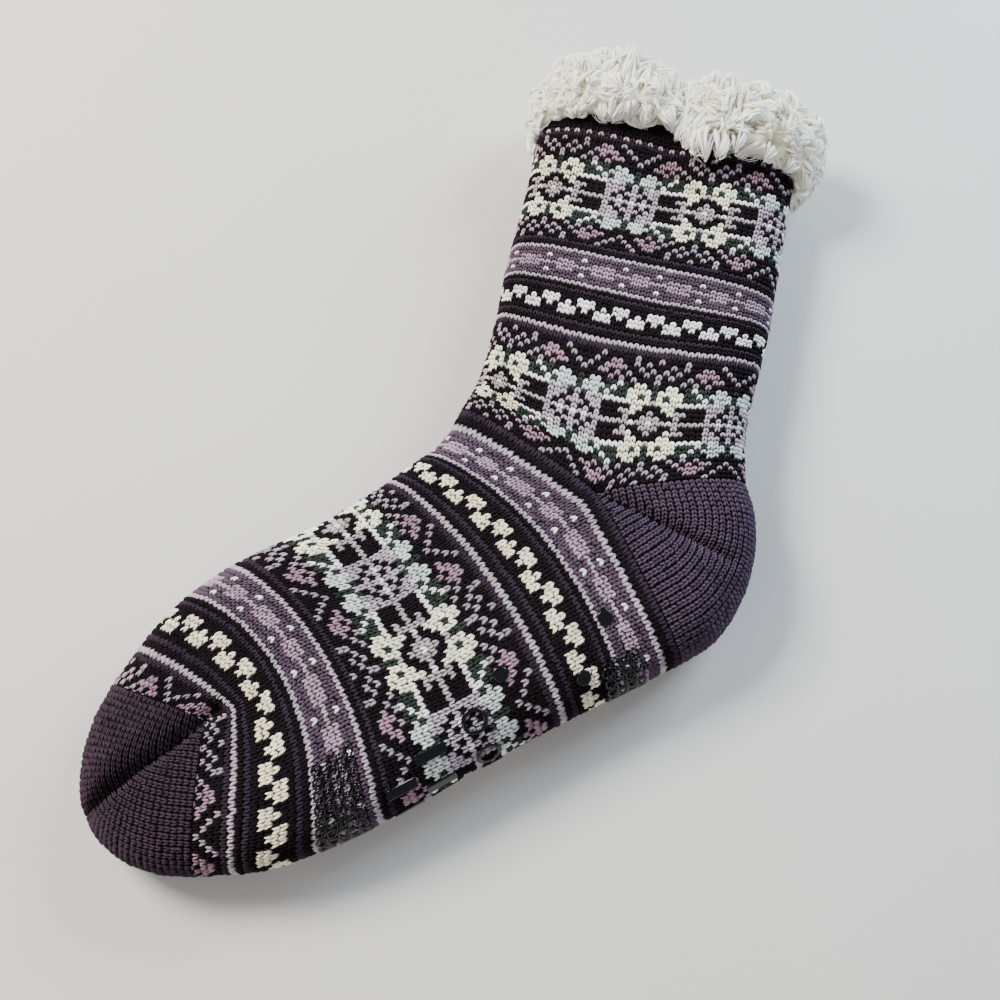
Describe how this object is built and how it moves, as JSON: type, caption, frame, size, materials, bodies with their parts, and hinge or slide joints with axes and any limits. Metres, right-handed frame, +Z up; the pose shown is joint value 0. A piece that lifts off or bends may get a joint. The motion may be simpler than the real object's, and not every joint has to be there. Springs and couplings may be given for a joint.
{
  "type": "slipper sock",
  "caption": "Knitted slipper sock lying on its side, with a thick fleece cuff round the collar and raised rubber grip prints on the sole.",
  "frame": {"origin": "middle of the whole part's plan, on the floor that it lies on", "axes": "+Z up from the floor, -X from the heel towards the toe, +Y from the sole towards the instep and the collar"},
  "size_m": [0.361, 0.2462, 0.0527],
  "materials": {
    "knit": "stranded colour knit in plum, purple, lilac, cream, mint and dark green yarn, matt and slightly hairy",
    "fleece": "ivory high-pile fleece in soft curled locks",
    "grip_rubber": "glossy black printed rubber"
  },
  "bodies": {
    "root": {"knit_upper": "knit", "sherpa_cuff": "fleece", "grip_net_front": "grip_rubber", "grip_net_heel": "grip_rubber", "grip_dot_1": "grip_rubber", "grip_dot_2": "grip_rubber", "grip_dot_3": "grip_rubber", "grip_ring_1": "grip_rubber", "grip_ring_2": "grip_rubber", "grip_ring_3": "grip_rubber", "grip_bar_1": "grip_rubber", "grip_bar_2": "grip_rubber", "grip_bar_3": "grip_rubber", "grip_bar_4": "grip_rubber", "grip_bar_5": "grip_rubber"}
  },
  "joints": []
}
